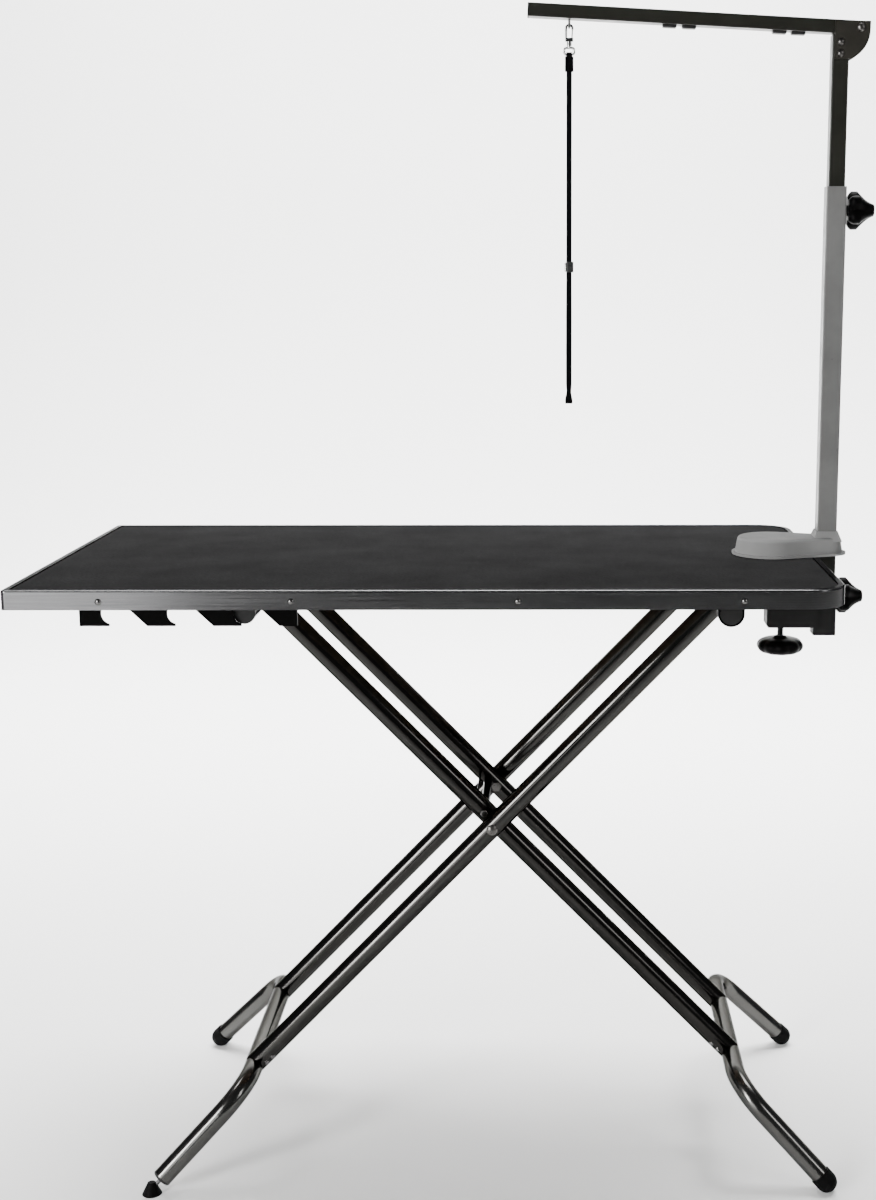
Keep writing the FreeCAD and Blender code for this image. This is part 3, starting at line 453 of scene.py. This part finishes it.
def lobed_rings(profile, lobes, steps, place):
    """Rings about +Z for a knob: profile rows are (height, waist radius, lobe radius)."""
    rings = []
    for height, waist, reach in profile:
        ring = []
        for i in range(steps):
            angle = TAU * i / steps
            wave = 0.5 + 0.5 * math.cos(lobes * angle)
            radius = waist + (reach - waist) * wave**0.7
            x, y = radius * math.sin(angle), radius * math.cos(angle)
            ring.append(place @ Vector((x, y, height)))
        rings.append(ring)
    return rings


# ---- knobs --------------------------------------------------------------------------------------


KNOB_REACH = 28.0 * MM
KNOB_WAIST = 18.5 * MM
KNOB_LOBE_THICKNESS = 20.0 * MM
KNOB_AXIS_BELOW_TOP = 28.2 * MM


def star_grip(node, body):
    """A moulded star knob: five round lobes on a crowned disc, rising to a small flat boss."""
    low, high = corner(node, LOW), corner(node, HIGH)
    depth = high.x - low.x
    place = turned((1, 0, 0), (low.x, 0, high.z - KNOB_AXIS_BELOW_TOP))
    reach, waist, thick = KNOB_REACH, KNOB_WAIST, KNOB_LOBE_THICKNESS
    profile = [
        (0.0, waist * 0.80, reach * 0.72),
        (1.0 * MM, waist * 0.86, reach * 0.80),
        (3.4 * MM, waist * 0.93, reach * 0.92),
        (5.6 * MM, waist * 0.98, reach * 0.985),
        (7.0 * MM, waist, reach),
        (thick - 6.0 * MM, waist, reach),
        (thick - 4.6 * MM, waist * 0.98, reach * 0.975),
        (thick - 3.0 * MM, waist * 0.95, reach * 0.90),
        (thick, waist * 0.90, reach * 0.78),
        (thick + 4.0 * MM, 14.2 * MM, 17.4 * MM),
        (thick + 9.0 * MM, 11.8 * MM, 13.0 * MM),
        (thick + 13.0 * MM, 10.2 * MM, 10.6 * MM),
        (depth - 3.0 * MM, 9.2 * MM, 9.4 * MM),
        (depth - 0.9 * MM, 8.7 * MM, 8.7 * MM),
        (depth, 7.4 * MM, 7.4 * MM),
        (depth, 5.4 * MM, 5.4 * MM),
        (depth - 0.8 * MM, 4.8 * MM, 4.8 * MM),
    ]
    points, faces = rings_to_mesh(lobed_rings(profile, 5, 120, place))
    finished(mesh_piece(node + "_grip", points, faces, knob_plastic, 42), body, node)


WHEEL_REACH = 35.0 * MM
WHEEL_WAIST = 33.4 * MM
WHEEL_DISC = 14.0 * MM
WHEEL_COLLAR = 8.5 * MM
WHEEL_RIM_STEPS = 10


def wheel_grip():
    """The clamp's hand wheel: a domed disc with shallow finger scallops and a screw collar."""
    low, high = corner("hand_wheel", LOW), corner("hand_wheel", HIGH)
    centre = middle("clamp_screw")
    place = Matrix.Translation((centre.x, centre.y, low.z))
    height = high.z - low.z
    reach, waist, disc, collar = WHEEL_REACH, WHEEL_WAIST, WHEEL_DISC, WHEEL_COLLAR
    profile = [(1.6 * MM, collar, collar), (0.4 * MM, collar + 4 * MM, collar + 4 * MM)]
    for i in range(WHEEL_RIM_STEPS + 1):
        angle = math.pi * (i / WHEEL_RIM_STEPS - 0.5)
        bulge = math.cos(angle) ** 0.7
        rise = height * (0.44 + 0.42 * math.sin(angle))
        profile.append((rise, disc + (waist - disc) * bulge, disc + (reach - disc) * bulge))
    profile.append((height * 0.9, collar + 1.5 * MM, collar + 1.5 * MM))
    profile.append((height * 0.98, collar, collar))
    profile.append((height, collar - 1.2 * MM, collar - 1.2 * MM))
    points, faces = rings_to_mesh(lobed_rings(profile, 10, 160, place))
    grip = mesh_piece("hand_wheel_grip", points, faces, knob_plastic, 42)
    finished(grip, "wheel", "hand_wheel")


# ---- thread -------------------------------------------------------------------------------------

THREAD_PITCH = 2.0 * MM
THREAD_DEPTH = 0.6 * THREAD_PITCH
THREAD_CHAMFER = 0.35 * MM
THREAD_ROWS_PER_TURN = 6
THREAD_SIDES = 24


def clamp_thread():
    """The clamp screw: a rod with a rolled thread that runs out at both ends."""
    low, high = corner("clamp_screw", LOW), corner("clamp_screw", HIGH)
    centre = middle("clamp_screw")
    radius = (high.x - low.x) / 2
    length = high.z - low.z
    rows = int(length / THREAD_PITCH * THREAD_ROWS_PER_TURN)
    rings = []
    for row in range(rows + 1):
        height = length * row / rows
        full = min(1.0, row / THREAD_ROWS_PER_TURN, (rows - row) / THREAD_ROWS_PER_TURN)
        ring = []
        for i in range(THREAD_SIDES):
            turn = (height / THREAD_PITCH - i / THREAD_SIDES) % 1.0
            cut = THREAD_DEPTH * abs(2 * turn - 1) * full + THREAD_CHAMFER * (1 - full)
            angle = TAU * i / THREAD_SIDES
            r = radius - cut
            x, y = centre.x + r * math.cos(angle), centre.y + r * math.sin(angle)
            ring.append(Vector((x, y, low.z + height)))
        rings.append(ring)
    points, faces = rings_to_mesh(rings)
    rod = mesh_piece("clamp_thread", points, faces, rod_metal, 80)
    finished(rod, "wheel", "clamp_screw")


# ---- noose --------------------------------------------------------------------------------------

NOOSE_ROUTE = (  # y and z of the strap's two strands and its round end, in millimetres
    (-2.6, 1576.5),
    (-2.6, 1148.0),
    (-7.4, 1129.0),
    (-7.0, 1112.0),
    (7.0, 1112.0),
    (7.4, 1129.0),
    (2.6, 1148.0),
    (2.6, 1576.5),
)
STRAP_WIDTH = 8.0 * MM
STRAP_THICKNESS = 2.0 * MM
STRAIGHT_ABOVE_BEND = 12.0 * MM
LOOSE_OVER = 60 * MM
PINCH_HEIGHT, PINCH_REACH = 1129 * MM, 6 * MM
BULB_HEIGHT, BULB_REACH = 1115 * MM, 7 * MM


def nurbs_points(points, resolution):
    """The points of a smooth open spline through a route's control points."""
    curve = bpy.data.curves.new("route", "CURVE")
    curve.dimensions = "3D"
    spline = curve.splines.new("NURBS")
    spline.points.add(len(points) - 1)
    for target, point in zip(spline.points, points):
        target.co = (*point, 1)
    spline.order_u = 3
    spline.use_endpoint_u = True
    spline.resolution_u = resolution
    holder = bpy.data.objects.new("route", curve)
    bpy.context.scene.collection.objects.link(holder)
    mesh = bpy.data.meshes.new_from_object(holder)
    path = [v.co.copy() for v in mesh.vertices]
    bpy.data.objects.remove(holder)
    bpy.data.meshes.remove(mesh)
    return path


def strap_spread(z):
    """The strap's share of its width: wider below the slide, pinched above its round end."""
    below_slide = max(0.0, min(1.0, (slide_bottom - z) / LOOSE_OVER))
    pinch = math.exp(-(((z - PINCH_HEIGHT) / PINCH_REACH) ** 2))
    bulb = math.exp(-(((z - BULB_HEIGHT) / BULB_REACH) ** 2))
    return 0.95 + 0.08 * below_slide - 0.22 * pinch + 0.34 * bulb


def strap_section(spread):
    """The webbing's outline: rolled edges, a little thinner than its middle."""
    half, thick = spread * STRAP_WIDTH / 2, STRAP_THICKNESS / 2
    return [
        (-half, 0),
        (-half * 0.96, thick * 0.62),
        (-half * 0.86, thick * 0.95),
        (-half * 0.45, thick),
        (0, thick * 0.97),
        (half * 0.45, thick),
        (half * 0.86, thick * 0.95),
        (half * 0.96, thick * 0.62),
        (half, 0),
        (half * 0.96, -thick * 0.62),
        (half * 0.86, -thick * 0.95),
        (half * 0.45, -thick),
        (0, -thick * 0.97),
        (-half * 0.45, -thick),
        (-half * 0.86, -thick * 0.95),
        (-half * 0.96, -thick * 0.62),
    ]


def noose():
    """The doubled strap, as one flat woven length."""
    route = [Vector((noose_x, y * MM, z * MM)) for y, z in NOOSE_ROUTE]
    above_bend = Vector((0, 0, STRAIGHT_ABOVE_BEND))
    controls = [route[0], route[1] + above_bend, *route[1:-1], route[-2] + above_bend, route[-1]]
    path = nurbs_points(controls, 24)
    rings = []
    across = Vector((1, 0, 0))
    for i, point in enumerate(path):
        before, after = path[max(i - 1, 0)], path[min(i + 1, len(path) - 1)]
        along = (after - before).normalized()
        outward = across.cross(along).normalized()
        section = strap_section(strap_spread(point.z))
        rings.append([point + across * x + outward * t for x, t in section])
    points, faces = rings_to_mesh(rings)
    strap = mesh_piece("noose_webbing", points, faces, strap_cloth, 60)
    finished(strap, "noose", "noose_strap")


# ---- stage, light and camera --------------------------------------------------------------------


FLOOR_HALF_WIDTH = 9.0
FLOOR_FRONT, FLOOR_BACK = -7.0, 3.4
WALL_BEND = 1.6
WALL_BEND_STEPS = 12
WALL_TOP = 7.0


def studio_floor():
    """A pale floor that curves up into a wall behind the table."""
    profile = [(FLOOR_FRONT, 0.0), (FLOOR_BACK, 0.0)]
    for i in range(1, WALL_BEND_STEPS + 1):
        angle = math.pi / 2 * i / WALL_BEND_STEPS
        rise = WALL_BEND - WALL_BEND * math.cos(angle)
        profile.append((FLOOR_BACK + WALL_BEND * math.sin(angle), rise))
    profile.append((FLOOR_BACK + WALL_BEND, WALL_TOP))
    sides = (-FLOOR_HALF_WIDTH, FLOOR_HALF_WIDTH)
    points = [(x, y, z) for x in sides for y, z in profile]
    count = len(profile)
    faces = [(i, i + 1, count + i + 1, count + i) for i in range(count - 1)]
    s = Shader("studio_floor", (0.86, 0.86, 0.855), 0.6)
    s.base(s.colours(s.noise(0.7, 2), [(0.3, (0.85, 0.85, 0.845)), (0.7, (0.88, 0.88, 0.875))]))
    floor = mesh_piece("studio_floor", points, faces, s.material, 60)


def area_light(name, place, aim, size, power, spread):
    light = bpy.data.lights.new(name, "AREA")
    light.shape = "RECTANGLE"
    light.size, light.size_y = size
    light.energy = power
    light.spread = math.radians(spread)
    holder = bpy.data.objects.new(name, light)
    holder.location = place
    holder.rotation_euler = (Vector(aim) - Vector(place)).to_track_quat("-Z", "Y").to_euler()
    holder.visible_camera = False
    bpy.context.scene.collection.objects.link(holder)


def lights():
    """Soft light from the left and above, with the front and the right dim for contrast."""
    world = bpy.data.worlds.new("studio")
    world.use_nodes = True
    background = world.node_tree.nodes["Background"]
    background.inputs["Color"].default_value = (0.96, 0.98, 1.0, 1)
    background.inputs["Strength"].default_value = 0.12
    bpy.context.scene.world = world
    area_light("key", (-3.0, -3.2, 1.9), (0, 0, 0.8), (0.9, 2.2), 90, 110)
    area_light("top", (-0.6, 0.9, 4.2), (-0.1, 0.2, 0.8), (3.0, 1.6), 8, 120)
    area_light("fill", (3.6, -2.6, 2.6), (0.2, 0, 0.8), (0.8, 2.0), 16, 110)
    area_light("wall", (0, 1.4, 4.6), (0, 5.2, 1.6), (7.0, 1.6), 620, 120)
    area_light("floor", (0, 2.0, 5.2), (0, 2.0, 0), (7.0, 3.0), 400, 70)
    area_light("left_card", (-2.2, -3.6, 0.7), (-0.6, 0, 0.8), (2.0, 1.4), 36, 180)


def camera():
    """A camera in front of the table, a little above it, looking slightly down."""
    lens = bpy.data.cameras.new("camera")
    lens.lens = 50.3
    lens.sensor_width = 36.0
    lens.shift_x = -0.0998
    lens.shift_y = -0.0064
    lens.clip_start = 0.05
    lens.clip_end = 60
    holder = bpy.data.objects.new("camera", lens)
    holder.location = (0.1254, -2.4536, 1.2809)
    holder.rotation_euler = (math.radians(90 - 10.38), 0, -0.0051)
    bpy.context.scene.collection.objects.link(holder)
    bpy.context.scene.camera = holder


# ---- the whole ----------------------------------------------------------------------------------

camera()
studio_floor()
lights()
paint_nodes()
noose()
star_grip("post_knob", "post_screw")
star_grip("jaw_knob", "jaw_screw")
wheel_grip()
clamp_thread()
